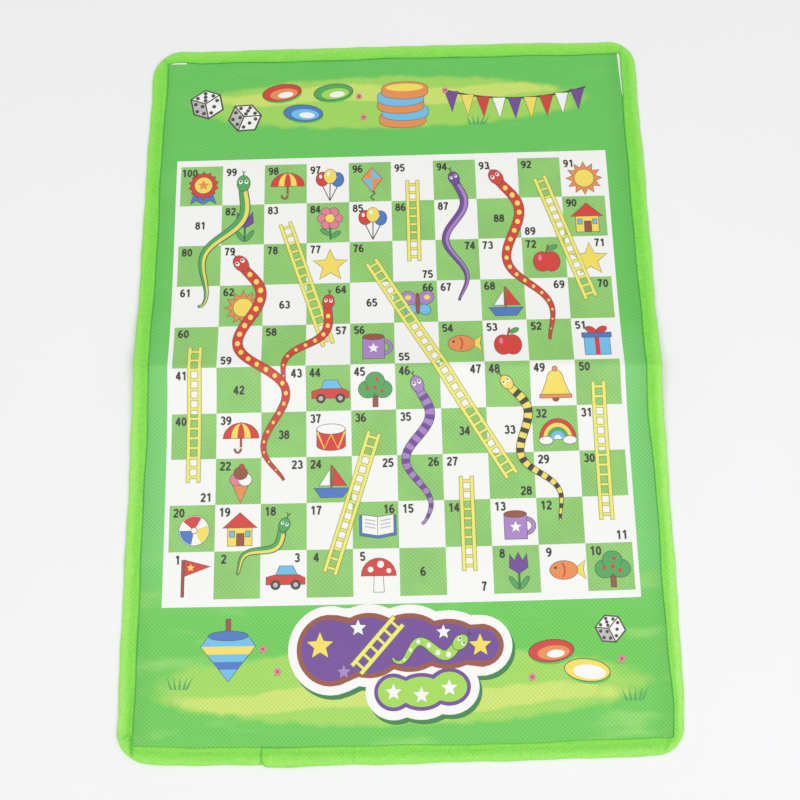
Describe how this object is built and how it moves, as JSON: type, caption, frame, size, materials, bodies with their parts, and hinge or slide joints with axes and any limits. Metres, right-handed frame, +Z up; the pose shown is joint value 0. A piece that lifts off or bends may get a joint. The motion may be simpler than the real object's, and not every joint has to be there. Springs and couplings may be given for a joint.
{
  "type": "snakes and ladders mat",
  "caption": "Folding cloth snakes and ladders mat: printed squares, ladders and snakes on laminated non-woven cloth, sewn green edge binding, and a raised crease it folds along.",
  "frame": {"origin": "centre of the mat in plan, on the table that it lies on", "axes": "+X across the mat to the right as it is read, +Y along it towards the top edge, where square 100 is, +Z up out of the printed face"},
  "size_m": [0.225, 0.3205, 0.0067],
  "materials": {
    "printed_face": "satin printed film with embossed bond dots",
    "base_cloth": "white non-woven cloth with embossed bond dots",
    "binding_tape": "lime green non-woven tape, folded and sewn",
    "thread": "lime green sewing thread"
  },
  "bodies": {
    "lower_half": {"lower_cloth": "base_cloth", "lower_ridge_cloth": "base_cloth", "lower_print": "printed_face", "lower_ridge_print": "printed_face", "bottom_binding": "binding_tape", "bottom_left_corner_binding": "binding_tape", "bottom_right_corner_binding": "binding_tape", "lower_left_binding": "binding_tape", "lower_right_binding": "binding_tape", "lower_left_ridge_binding": "binding_tape", "lower_right_ridge_binding": "binding_tape", "binding_lap": "binding_tape", "lap_tack": "thread", "lower_needle_stitches": "thread", "lower_bobbin_stitches": "thread"},
    "upper_half": {"upper_cloth": "base_cloth", "upper_ridge_cloth": "base_cloth", "upper_print": "printed_face", "upper_ridge_print": "printed_face", "top_binding": "binding_tape", "top_left_corner_binding": "binding_tape", "top_right_corner_binding": "binding_tape", "upper_left_binding": "binding_tape", "upper_right_binding": "binding_tape", "upper_left_ridge_binding": "binding_tape", "upper_right_ridge_binding": "binding_tape", "upper_needle_stitches": "thread", "upper_bobbin_stitches": "thread"}
  },
  "joints": [
    {"name": "fold", "type": "hinge", "parent": "lower_half", "child": "upper_half", "pos_m": [0, 0.0025, 0.00685], "axis": [1, 0, 0], "range_deg": [0, 183.2]}
  ]
}
